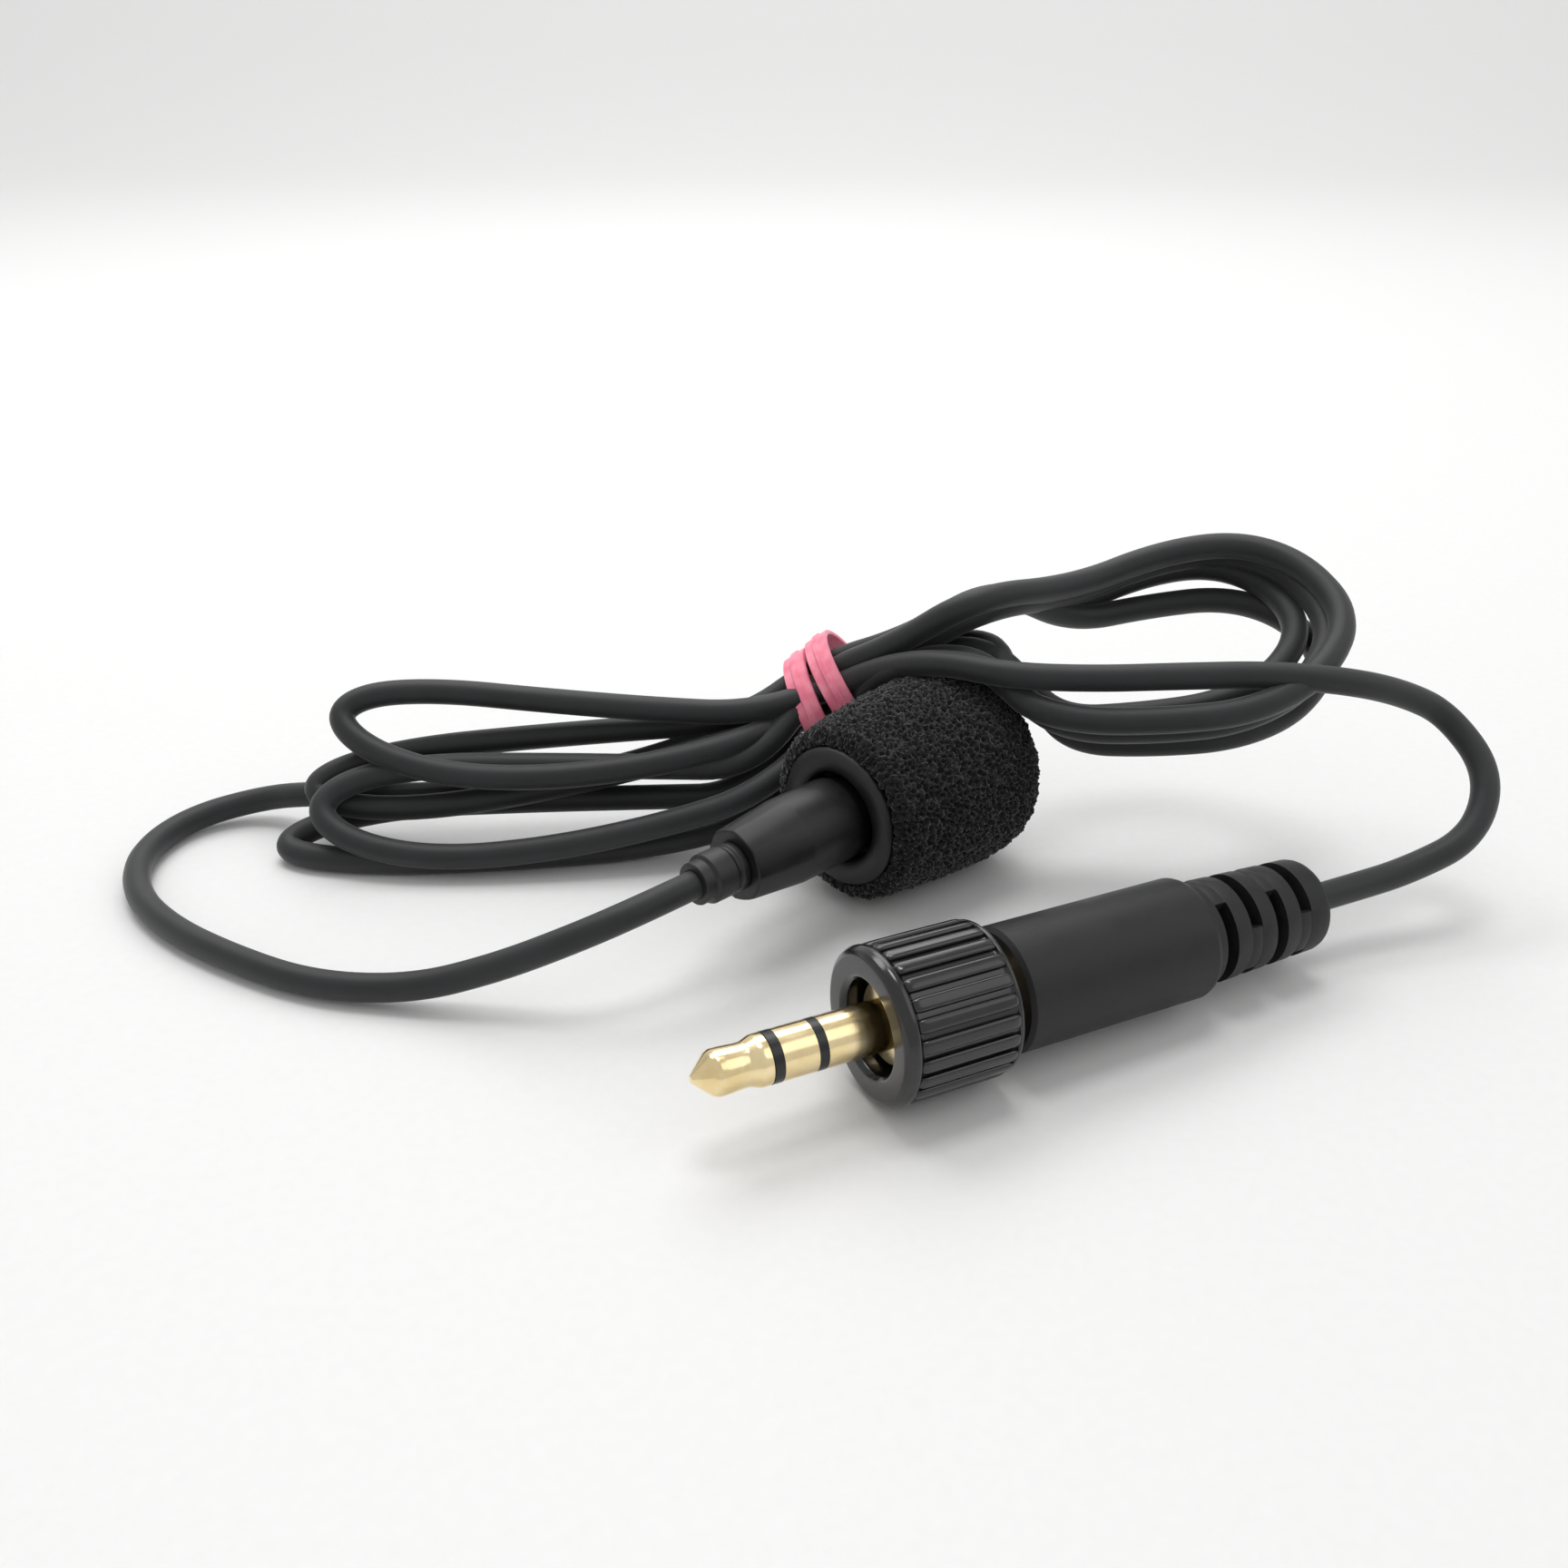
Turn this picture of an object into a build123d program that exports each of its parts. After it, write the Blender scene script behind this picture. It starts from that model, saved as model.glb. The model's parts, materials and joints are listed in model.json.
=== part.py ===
from build123d import *
import math
import os

# Lavalier microphone: a clip-on mic head in a foam windscreen, a coiled lead held by a twist tie, and
# a 3.5 mm three-contact plug with a locking nut. Millimetres. The mic head lies along +X with the foam
# to the front and +Z up. The origin is under the middle of the mic head, on the surface it lies on.

# Mic head: lengths run along its axis from the shell's rear face, and radii are from that axis.
foam_radius = 8.05
relief_length = 4.0
foam_front = 29.6
foam_rear = 11.2
foam_mouth_radius = 6.5
ring_front = 12.8
ring_outer_radius = 5.8
ring_bore_radius = 3.75
barrel_radius = 3.45
seat_radius = 3.2
barrel_start = 5.2
barrel_end = 16.0
rear_face_radius = 2.9
shell_wall = 0.5
shell_rear_wall = 0.8
shell_hole_radius = 1.35
grip_groove_start = 10.6
grip_groove_end = 11.3
foam_clearance = 0.12
grille_thickness = 0.6

# Lead and its fittings
cable_diameter = 2.2
cable_radius = cable_diameter / 2
wire_radius = 0.22
relief_radius = 1.95
relief_step_radius = 1.65

# Electret capsule
can_radius = 2.88
can_wall = 0.2
can_rear = 10.0
can_front = 14.9
insert_radius = can_radius - can_wall - 0.04
diaphragm_thickness = 0.1

# Plug: lengths run along its axis from the locking nut's front face, positive towards the cable.
plug_origin = (-18.3, -18.8, 5.72)
plug_turn = -17.2
plug_droop = -1.2
pin_radius = 1.75
pin_length = 14.0
pin_shoulder = 1.4
tip_end = pin_shoulder - pin_length
insulator_width = 0.7
tip_insulator_at = tip_end + 5.15
ring_insulator_at = tip_end + 8.3
rod_radius = 0.6
tip_tube_radius = 0.85
ring_tube_radius = 1.15
sleeve_bore_radius = 1.4
neck_radius = 2.4
neck_flange_radius = 2.8
neck_flange_end = 2.4
nut_radius = 5.5
nut_length = 9.0
nut_hole_radius = 3.25
nut_ridges = 24
nut_groove_radius = 0.42
clip_start = 6.55
clip_end = 7.45
clip_outer_radius = 3.6
body_radius = 4.5
body_front = 10.2
body_rear = 26.5
body_wall = 0.6
body_front_wall = 1.2
boot_radius = 3.9
boot_end_radius = 3.5
boot_end = 37.8
boot_inner_radius = 2.0
slot_rows = 4
slot_first = 27.8
slot_pitch = 2.4
slot_width = 0.9
slot_arc = 125

# Frames of the two turned assemblies
axis_height = foam_radius
mic_rear_x = -(foam_front + relief_length) / 2 + relief_length
mic_plane = Plane(origin=(mic_rear_x, 0, axis_height), x_dir=(1, 0, 0), z_dir=(0, -1, 0))
mic_axis = Axis(mic_plane.origin, mic_plane.x_dir)
mic_section = Plane(origin=mic_plane.origin, x_dir=(0, 1, 0), z_dir=(1, 0, 0))


def direction(turn, rise):
    level = math.cos(math.radians(rise))
    east = level * math.cos(math.radians(turn))
    north = level * math.sin(math.radians(turn))
    return Vector(east, north, math.sin(math.radians(rise)))


plug_direction = direction(plug_turn, plug_droop)
plug_side = direction(plug_turn - 90, 0)
plug_plane = Plane(origin=plug_origin, x_dir=plug_direction, z_dir=plug_side)
plug_axis = Axis(plug_plane.origin, plug_plane.x_dir)
plug_section = Plane(origin=plug_plane.origin, x_dir=plug_side, z_dir=plug_direction)


def ring_profile(start, end, inner, outer):
    """Add a rectangle to the open half-section sketch: a tube, disc or washer once it is turned."""
    with Locations(((start + end) / 2, (inner + outer) / 2)):
        Rectangle(end - start, outer - inner)


def outline(*points):
    """Add a closed straight-sided outline to the open half-section sketch."""
    Polygon(*points, align=None)


# ---- Mic head: housing ----

with BuildPart() as mic_body_shell:
    with BuildSketch(mic_plane):
        outline(
            (0, shell_hole_radius),
            (0, rear_face_radius),
            (barrel_start, barrel_radius),
            (grip_groove_start, barrel_radius),
            (grip_groove_start, barrel_radius - 0.2),
            (grip_groove_end, barrel_radius - 0.2),
            (grip_groove_end, seat_radius),
            (barrel_end, seat_radius),
            (barrel_end, barrel_radius - shell_wall),
            (barrel_start, barrel_radius - shell_wall),
            (shell_rear_wall, rear_face_radius - shell_wall),
            (shell_rear_wall, shell_hole_radius),
        )
    revolve(axis=mic_axis)

with BuildPart() as mic_strain_relief:
    with BuildSketch(mic_plane):
        outline(
            (-relief_length, cable_radius),
            (-relief_length, relief_step_radius),
            (-relief_length + 0.9, relief_step_radius),
            (-relief_length + 1.1, relief_radius),
            (-0.02, relief_radius),
            (-0.02, shell_hole_radius - 0.02),
            (shell_rear_wall + 0.02, shell_hole_radius - 0.02),
            (shell_rear_wall + 0.02, relief_radius + 0.3),
            (shell_rear_wall + 0.4, relief_radius + 0.3),
            (shell_rear_wall + 0.4, cable_radius),
        )
    revolve(axis=mic_axis)

with BuildPart() as mic_cable_tail:
    with BuildSketch(mic_plane):
        ring_profile(-relief_length, 4.5, 0, cable_radius)
    revolve(axis=mic_axis)

with BuildPart() as mic_crimp_ferrule:
    with BuildSketch(mic_plane):
        ring_profile(1.4, 3.8, cable_radius, 1.55)
    revolve(axis=mic_axis)

with BuildPart() as front_grille:
    with BuildSketch(mic_plane):
        ring_profile(barrel_end + 0.02, barrel_end + grille_thickness, 0, seat_radius)
        ring_profile(barrel_end - 0.8, barrel_end + 0.02, 2.5, 2.92)
    revolve(axis=mic_axis)
    with BuildSketch(mic_section.offset(barrel_end + 0.02)):
        Circle(0.45)
        with PolarLocations(1.6, 6):
            Circle(0.45)
    extrude(amount=grille_thickness, mode=Mode.SUBTRACT)

with BuildPart() as acoustic_mesh:
    with BuildSketch(mic_plane):
        ring_profile(barrel_end - 0.95, barrel_end - 0.82, 0, 2.9)
    revolve(axis=mic_axis)

with BuildPart() as capsule_gasket:
    with BuildSketch(mic_plane):
        ring_profile(can_rear - 0.8, can_rear - 0.02, 2.4, 2.92)
    revolve(axis=mic_axis)

# ---- Mic head: electret capsule, from its front wall back to its terminal board ----

with BuildPart() as capsule_can:
    with BuildSketch(mic_plane):
        ring_profile(can_front - can_wall, can_front, 0.6, can_radius)
        ring_profile(can_rear, can_front, can_radius - can_wall, can_radius)
        ring_profile(can_rear, can_rear + can_wall, 2.3, can_radius)
    revolve(axis=mic_axis)

stack_top = can_front - can_wall - 0.02

with BuildPart() as diaphragm_ring:
    with BuildSketch(mic_plane):
        ring_profile(stack_top - 0.3, stack_top, 2.2, insert_radius)
    revolve(axis=mic_axis)

diaphragm_top = stack_top - 0.3

with BuildPart() as diaphragm:
    with BuildSketch(mic_plane):
        ring_profile(diaphragm_top - diaphragm_thickness, diaphragm_top, 0, insert_radius)
    revolve(axis=mic_axis)

spacer_top = diaphragm_top - diaphragm_thickness

with BuildPart() as spacer_washer:
    with BuildSketch(mic_plane):
        ring_profile(spacer_top - 0.12, spacer_top, 2.2, insert_radius)
    revolve(axis=mic_axis)

backplate_top = spacer_top - 0.12
backplate_bottom = backplate_top - 0.4

with BuildPart() as backplate:
    with BuildSketch(mic_plane):
        ring_profile(backplate_bottom, backplate_top, 0, insert_radius)
    revolve(axis=mic_axis)
    with BuildSketch(mic_section.offset(backplate_bottom)):
        with PolarLocations(1.3, 6):
            Circle(0.2)
    extrude(amount=0.4, mode=Mode.SUBTRACT)

board_bottom = can_rear + can_wall + 0.02
board_top = board_bottom + 0.5

with BuildPart() as insulator_cup:
    with BuildSketch(mic_plane):
        ring_profile(board_top, backplate_bottom, 2.1, insert_radius)
    revolve(axis=mic_axis)

with BuildPart() as capsule_board:
    with BuildSketch(mic_plane):
        ring_profile(board_bottom, board_top, 0, insert_radius)
    revolve(axis=mic_axis)

with BuildPart() as amplifier_chip:
    with BuildSketch(mic_section.offset(board_top)):
        Rectangle(1.6, 1.2)
    extrude(amount=0.7)

with BuildPart() as solder_joints:
    with BuildSketch(mic_section.offset(board_bottom)):
        with Locations((1.0, 0), (-1.0, 0)):
            Circle(0.45)
    extrude(amount=-0.35, taper=20)

# Two cores fan out from the stripped tail to the terminal board's joints.
mic_wires = {}
for wire_name, side in (("mic_signal_wire", 1), ("mic_ground_wire", -1)):
    with BuildPart() as mic_wires[wire_name]:
        with BuildLine() as core_path:
            FilletPolyline(
                mic_section.from_local_coords((side * 0.4, 0, 4.5)),
                mic_section.from_local_coords((side * 0.4, 0, 6.0)),
                mic_section.from_local_coords((side * 1.0, 0, 8.0)),
                mic_section.from_local_coords((side * 1.0, 0, board_bottom - 0.35)),
                radius=0.8,
            )
        with BuildSketch(Plane(origin=core_path.line @ 0, z_dir=core_path.line % 0)):
            Circle(wire_radius)
        sweep(path=core_path.line)

# ---- Foam windscreen and the smooth ring in its mouth ----

with BuildPart() as windscreen_foam:
    with BuildSketch(mic_plane):
        with BuildLine():
            Polyline(
                (barrel_end + grille_thickness + 0.6, 0),
                (barrel_end + grille_thickness + 0.6, seat_radius + foam_clearance),
                (ring_front, seat_radius + foam_clearance),
                (ring_front, ring_outer_radius),
                (foam_rear + 0.3, ring_outer_radius),
                (foam_rear, foam_mouth_radius - 0.3),
            )
            Spline(
                (foam_rear, foam_mouth_radius - 0.3),
                (foam_rear + 0.9, foam_mouth_radius + 0.55),
                (17.0, foam_radius - 0.45),
                (25.0, foam_radius),
                tangents=((0.3, 1), (1, 0)),
            )
            Spline(
                (25.0, foam_radius),
                (27.9, foam_radius - 0.75),
                (29.3, foam_radius - 3.1),
                (foam_front, 0),
                tangents=((1, 0), (0, -1)),
            )
            Line((foam_front, 0), (barrel_end + grille_thickness + 0.6, 0))
        make_face()
    revolve(axis=mic_axis)

with BuildPart() as windscreen_mouth_ring:
    with BuildSketch(mic_plane):
        with BuildLine():
            Polyline(
                (ring_front, ring_bore_radius),
                (ring_front, ring_outer_radius),
                (foam_rear + 0.1, ring_outer_radius),
            )
            ThreePointArc(
                (foam_rear + 0.1, ring_outer_radius),
                (foam_rear - 0.5, (ring_outer_radius + ring_bore_radius) / 2),
                (foam_rear + 0.1, ring_bore_radius),
            )
            Line((foam_rear + 0.1, ring_bore_radius), (ring_front, ring_bore_radius))
        make_face()
    revolve(axis=mic_axis)

# ---- Plug: the three contacts and their insulators, one inside the next ----

tip_insulator_end = tip_insulator_at + insulator_width
ring_insulator_end = ring_insulator_at + insulator_width

with BuildPart() as plug_tip_contact:
    with BuildSketch(plug_plane):
        with BuildLine():
            Line((tip_end, 0), (tip_end, 0.3))
            ThreePointArc((tip_end, 0.3), (tip_end + 0.45, 1.0), (tip_end + 1.5, 1.5))
            Polyline(
                (tip_end + 1.5, 1.5),
                (tip_end + 2.0, 1.54),
                (tip_end + 3.5, 1.32),
                (tip_end + 3.9, 1.32),
                (tip_end + 4.5, pin_radius),
                (tip_insulator_at, pin_radius),
                (tip_insulator_at, rod_radius),
                (16.5, rod_radius),
                (16.5, 0),
                (tip_end, 0),
            )
        make_face()
    revolve(axis=plug_axis)

with BuildPart() as plug_tip_insulator:
    with BuildSketch(plug_plane):
        ring_profile(tip_insulator_at, tip_insulator_end, rod_radius, pin_radius)
        ring_profile(tip_insulator_end, 15.2, rod_radius, tip_tube_radius)
    revolve(axis=plug_axis)

with BuildPart() as plug_ring_contact:
    with BuildSketch(plug_plane):
        ring_profile(tip_insulator_end, ring_insulator_at, tip_tube_radius, pin_radius)
        ring_profile(ring_insulator_at, 14.2, tip_tube_radius, ring_tube_radius)
    revolve(axis=plug_axis)

with BuildPart() as plug_ring_insulator:
    with BuildSketch(plug_plane):
        ring_profile(ring_insulator_at, ring_insulator_end, ring_tube_radius, pin_radius)
        ring_profile(ring_insulator_end, 13.0, ring_tube_radius, sleeve_bore_radius)
    revolve(axis=plug_axis)

sleeve_seat = body_front + body_front_wall

with BuildPart() as plug_sleeve_contact:
    with BuildSketch(plug_plane):
        ring_profile(ring_insulator_end, sleeve_seat + 0.8, sleeve_bore_radius, pin_radius)
        ring_profile(pin_shoulder, neck_flange_end, pin_radius, neck_flange_radius)
        ring_profile(neck_flange_end, sleeve_seat, pin_radius, neck_radius)
        ring_profile(sleeve_seat, sleeve_seat + 0.8, pin_radius, body_radius - body_wall - 0.02)
    revolve(axis=plug_axis)

# The two solder lugs are washers with a tab, one on the tip rod and one on the ring tube.
plug_lugs = {}
for lug_name, lug_at, lug_bore, side in (
    ("plug_tip_lug", 15.4, rod_radius, 1),
    ("plug_ring_lug", 13.5, ring_tube_radius, -1),
):
    with BuildPart() as plug_lugs[lug_name]:
        with BuildSketch(plug_section.offset(lug_at)):
            Circle(lug_bore + 0.5)
            with Locations((side * 1.7, 0)):
                Rectangle(1.4, 1.2)
            Circle(lug_bore, mode=Mode.SUBTRACT)
        extrude(amount=0.4)

# ---- Plug: locking nut, the clip it turns on, body and boot ----

with BuildPart() as plug_locking_nut:
    with BuildSketch(plug_plane):
        outline(
            (0, nut_hole_radius + 0.35),
            (0, nut_radius - 0.5),
            (0.5, nut_radius),
            (nut_length - 0.4, nut_radius),
            (nut_length, nut_radius - 0.4),
            (nut_length, 3.5),
            (clip_end + 0.05, 3.5),
            (clip_end + 0.05, clip_outer_radius + 0.08),
            (clip_start - 0.05, clip_outer_radius + 0.08),
            (clip_start - 0.05, 3.0),
            (clip_start - 1.0, 3.0),
            (clip_start - 1.0, nut_hole_radius),
            (0.35, nut_hole_radius),
        )
    revolve(axis=plug_axis)
    with BuildSketch(plug_section):
        with PolarLocations(nut_radius + 0.1, nut_ridges):
            Circle(nut_groove_radius)
    extrude(amount=nut_length, mode=Mode.SUBTRACT)

with BuildPart() as nut_retaining_clip:
    with BuildSketch(plug_section.offset(clip_start)):
        Circle(clip_outer_radius)
        Circle(neck_radius + 0.07, mode=Mode.SUBTRACT)
        with Locations((3.2, 0)):
            Rectangle(2.4, 0.9, mode=Mode.SUBTRACT)
    extrude(amount=clip_end - clip_start)

body_bore = body_radius - body_wall

with BuildPart() as plug_body_shell:
    with BuildSketch(plug_plane):
        outline(
            (body_front, neck_radius),
            (body_front, body_radius - 0.3),
            (body_front + 0.3, body_radius),
            (body_rear - 0.5, body_radius),
            (body_rear - 0.12, body_radius - 0.15),
            (body_rear, body_radius - 0.45),
            (body_rear, body_bore + 0.02),
            (sleeve_seat, body_bore + 0.02),
            (sleeve_seat, neck_radius),
        )
    revolve(axis=plug_axis)

with BuildPart() as plug_boot:
    with BuildSketch(plug_plane):
        with BuildLine():
            Polyline(
                (24.0, boot_inner_radius),
                (24.0, boot_radius),
                (body_rear, boot_radius),
                (boot_end - 0.7, boot_end_radius),
            )
            ThreePointArc(
                (boot_end - 0.7, boot_end_radius),
                (boot_end - 0.2, boot_end_radius - 0.2),
                (boot_end, boot_end_radius - 0.7),
            )
            Polyline(
                (boot_end, boot_end_radius - 0.7),
                (boot_end, cable_radius),
                (26.0, cable_radius),
                (26.0, boot_inner_radius),
                (24.0, boot_inner_radius),
            )
        make_face()
    revolve(axis=plug_axis)
    # Each row has two slots. Ribs between them stand above and below, then at the sides, by turns.
    for row in range(slot_rows):
        middle = slot_first + row * slot_pitch
        for side in (0, 180):
            slot_turn = side + (row % 2) * 90 - slot_arc / 2 + 90
            with BuildSketch(plug_plane.rotated((slot_turn, 0, 0))):
                ring_profile(middle - slot_width / 2, middle + slot_width / 2, boot_inner_radius, body_radius)
            revolve(axis=plug_axis, revolution_arc=slot_arc, mode=Mode.SUBTRACT)

with BuildPart() as plug_crimp_ferrule:
    with BuildSketch(plug_plane):
        ring_profile(20.5, 25.2, cable_radius, 1.75)
    revolve(axis=plug_axis)

with BuildPart() as plug_cable_tail:
    with BuildSketch(plug_plane):
        ring_profile(19.6, boot_end, 0, cable_radius)
    revolve(axis=plug_axis)

# Three cores run from the stripped tail to the tip lug, the ring lug and the sleeve's back flange.
plug_wires = {}
for wire_name, start, side, far in (
    ("plug_signal_wire", (0.5, 0.0), (2.0, 0.0), 15.85),
    ("plug_bias_wire", (-0.5, 0.0), (-2.1, 0.0), 13.95),
    ("plug_shield_wire", (0.0, 0.5), (0.0, 2.4), sleeve_seat + 0.85),
):
    with BuildPart() as plug_wires[wire_name]:
        with BuildLine() as core_path:
            FilletPolyline(
                plug_section.from_local_coords((start[0], start[1], 19.6)),
                plug_section.from_local_coords((start[0], start[1], 18.8)),
                plug_section.from_local_coords((side[0], side[1], 17.0)),
                plug_section.from_local_coords((side[0], side[1], far)),
                radius=0.5,
            )
        with BuildSketch(Plane(origin=core_path.line @ 0, z_dir=core_path.line % 0)):
            Circle(wire_radius)
        sweep(path=core_path.line)

# ---- Lead: where it runs single it is a tube, and its hank is one solid that pinches at the tie ----

mic_exit = Vector(mic_rear_x - relief_length, 0, axis_height)
plug_exit = plug_plane.from_local_coords((boot_end, 0, 0))

mic_side_route = [
    mic_exit,
    Vector(-21.4, 0.3, 7.8),
    Vector(-25.9, 2.5, 6.3),
    Vector(-30.0, 6.8, 3.6),
    Vector(-34.4, 11.4, 1.6),
    Vector(-39.0, 17.4, 1.15),
    Vector(-41.6, 24.8, 1.2),
    Vector(-43.2, 32.6, 1.15),
    Vector(-42.8, 39.8, 1.15),
    Vector(-39.6, 45.6, 1.2),
    Vector(-33.8, 48.6, 1.2),
    Vector(-27.8, 46.4, 1.9),
    Vector(-25.4, 40.6, 3.6),
]
plug_side_route = [
    Vector(30.0, -17.4, 19.8),
    Vector(33.8, -20.9, 18.2),
    Vector(36.5, -25.0, 16.8),
    Vector(37.4, -30.4, 14.6),
    Vector(36.2, -35.2, 11.4),
    Vector(32.2, -36.4, 7.6),
    Vector(27.0, -33.8, 5.6),
    Vector(22.4, -31.6, 5.0),
    plug_exit,
]


def corner_radii(route):
    """The radius at each inner point of a route: 0.45 of its shorter run over tan(half the turn)."""
    radii = []
    for before, corner, after in zip(route, route[1:], route[2:]):
        turn = (corner - before).get_angle(after - corner)
        run = min((corner - before).length, (after - corner).length)
        radii.append(0.45 * run / math.tan(math.radians(turn / 2)))
    return radii


cables = {}
for cable_name, route in (("cable_mic_side", mic_side_route), ("cable_plug_side", plug_side_route)):
    radii = corner_radii(route)
    with BuildPart() as cables[cable_name]:
        with BuildLine() as lead_path:
            FilletPolyline(*route, radius=radii)
        with BuildSketch(Plane(origin=lead_path.line @ 0, z_dir=lead_path.line % 0)):
            Circle(cable_radius)
        sweep(path=lead_path.line)
    lead_length = lead_path.wires()[0].length
    volume = math.pi * cable_radius**2 * lead_length
    print(cable_name, "radii", [round(radius, 1) for radius in radii])
    print(cable_name, "length", round(lead_length, 1), "turns",
          [round((b - a).get_angle(c - b)) for a, b, c in zip(route, route[1:], route[2:])])
    print(cable_name, "volume ratio", round(cables[cable_name].part.volume / volume, 4))

# The hank is two flat lobes of loops that meet in a round waist, where the tie holds them. The left lobe
# leans 40 degrees up from the surface. The right one stands off it, over the foam's way out.
hank_half_thickness = 1.3
waist_radius = 3.6
waist_centre = Vector(10.4, 12.4, 12.8)
waist_direction = Vector(7.5, -6.0, 6.4).normalized()
waist_length = 11.0
tie_width = 3.0
tie_thickness = 0.7
tie_gap = 0.25

left_lobe = (Vector(8.8, 13.6, 11.4), Vector(-29.6, 40.2, 4.6), Vector(0.355, 0.674, 0.652))
right_lobe = (Vector(13.0, 9.0, 19.4), Vector(35.4, -21.0, 21.0), Vector(0.686, 0.614, 0.39))


def lobe_plane(start, end, lean):
    """The plane that a lobe's loops lie in: x runs along the lobe, and y follows its lean."""
    along = (end - start).normalized()
    across = (lean - along * lean.dot(along)).normalized()
    return Plane(origin=start, x_dir=along, z_dir=along.cross(across))


waist_plane = Plane(origin=waist_centre, x_dir=(0, 0, 1), z_dir=waist_direction)

with BuildPart() as cable_hank:
    with BuildSketch(lobe_plane(*left_lobe)):
        with BuildLine():
            Spline((-3, -3.0), (1, -6.0), (8, -8.6), (21, -9.4), (34, -8.0), (43, -5.2), (47.5, -1.5),
                   (45, 4.0), (38, 8.0), (29, 6.4), (18, 3.6), (8, 2.4), (-3, 2.6), periodic=True)
        make_face()
    extrude(amount=hank_half_thickness, both=True)
    with BuildSketch(lobe_plane(*right_lobe)):
        with BuildLine():
            Spline((-3, -2.2), (6, -3.8), (14, -9.8), (22, -13.2), (31, -11.6), (37.2, -4.0),
                   (37.2, 4.0), (29, 9.4), (18, 7.8), (8, 4.0), (-3, 2.4), periodic=True)
        make_face()
    extrude(amount=hank_half_thickness, both=True)
    with BuildSketch(waist_plane.offset(-waist_length / 2)):
        Circle(waist_radius)
    extrude(amount=waist_length)

with BuildPart() as twist_tie:
    with BuildSketch(waist_plane.offset(-tie_width / 2)):
        Circle(waist_radius + tie_gap + tie_thickness)
        Circle(waist_radius + tie_gap, mode=Mode.SUBTRACT)
    extrude(amount=tie_width)

# ---- Labels and files ----

pieces = {
    "mic_body_shell": mic_body_shell,
    "mic_strain_relief": mic_strain_relief,
    "mic_cable_tail": mic_cable_tail,
    "mic_crimp_ferrule": mic_crimp_ferrule,
    "front_grille": front_grille,
    "acoustic_mesh": acoustic_mesh,
    "capsule_gasket": capsule_gasket,
    "capsule_can": capsule_can,
    "diaphragm_ring": diaphragm_ring,
    "diaphragm": diaphragm,
    "spacer_washer": spacer_washer,
    "backplate": backplate,
    "insulator_cup": insulator_cup,
    "capsule_board": capsule_board,
    "amplifier_chip": amplifier_chip,
    "solder_joints": solder_joints,
    **mic_wires,
    "windscreen_foam": windscreen_foam,
    "windscreen_mouth_ring": windscreen_mouth_ring,
    "plug_tip_contact": plug_tip_contact,
    "plug_tip_insulator": plug_tip_insulator,
    "plug_ring_contact": plug_ring_contact,
    "plug_ring_insulator": plug_ring_insulator,
    "plug_sleeve_contact": plug_sleeve_contact,
    **plug_lugs,
    "plug_locking_nut": plug_locking_nut,
    "nut_retaining_clip": nut_retaining_clip,
    "plug_body_shell": plug_body_shell,
    "plug_boot": plug_boot,
    "plug_crimp_ferrule": plug_crimp_ferrule,
    "plug_cable_tail": plug_cable_tail,
    **plug_wires,
    **cables,
    "cable_hank": cable_hank,
    "twist_tie": twist_tie,
}

os.makedirs("parts", exist_ok=True)
for name, piece in pieces.items():
    piece.part.label = name
    export_step(piece.part, f"parts/{name}.step")
    box = piece.part.bounding_box()
    print(name, "from", [round(v, 2) for v in box.min], "to", [round(v, 2) for v in box.max])
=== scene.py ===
import json
import math

import bmesh
import bpy
from mathutils import Matrix, Vector


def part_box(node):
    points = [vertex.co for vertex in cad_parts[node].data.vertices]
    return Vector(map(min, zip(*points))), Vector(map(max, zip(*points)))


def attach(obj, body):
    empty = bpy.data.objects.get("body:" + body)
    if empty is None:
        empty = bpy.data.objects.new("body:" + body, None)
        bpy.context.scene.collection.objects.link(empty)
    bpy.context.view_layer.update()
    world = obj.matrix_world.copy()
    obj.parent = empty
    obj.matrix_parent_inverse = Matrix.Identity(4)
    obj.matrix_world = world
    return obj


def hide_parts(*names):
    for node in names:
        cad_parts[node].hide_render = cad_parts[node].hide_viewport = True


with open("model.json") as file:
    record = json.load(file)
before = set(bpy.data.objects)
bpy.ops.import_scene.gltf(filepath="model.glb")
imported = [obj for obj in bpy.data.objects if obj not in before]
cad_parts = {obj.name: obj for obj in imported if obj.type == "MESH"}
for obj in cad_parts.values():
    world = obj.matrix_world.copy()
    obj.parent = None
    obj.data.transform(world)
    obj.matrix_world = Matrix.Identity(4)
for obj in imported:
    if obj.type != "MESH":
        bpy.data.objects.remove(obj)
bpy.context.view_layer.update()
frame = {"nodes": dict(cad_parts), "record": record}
mm = 0.001
tiny = 1e-6
mergeGap = 1e-4

# Where the two turned assemblies lie, read from the frame
shellLow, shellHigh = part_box("mic_body_shell")
micRear = Vector((shellLow[0], 0, (shellLow[2] + shellHigh[2]) / 2))
micTurn = Matrix.Identity(3)
nutJoint = next(j for j in frame["record"]["behaviour"]["joints"] if j["name"] == "nut_spin")
plugOrigin = Vector(nutJoint["pos_m"])
plugAlong = -Vector(nutJoint["axis"]).normalized()
plugSide = plugAlong.cross(Vector((0, 0, 1))).normalized()
plugTurn = Matrix((plugAlong, plugAlong.cross(plugSide) * -1, plugSide)).transposed()


def placed(origin, turn):
    return Matrix.Translation(origin) @ turn.to_4x4()


micPlace = placed(micRear, micTurn)
plugPlace = placed(plugOrigin, plugTurn)


# ---- shader maths ----


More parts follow.
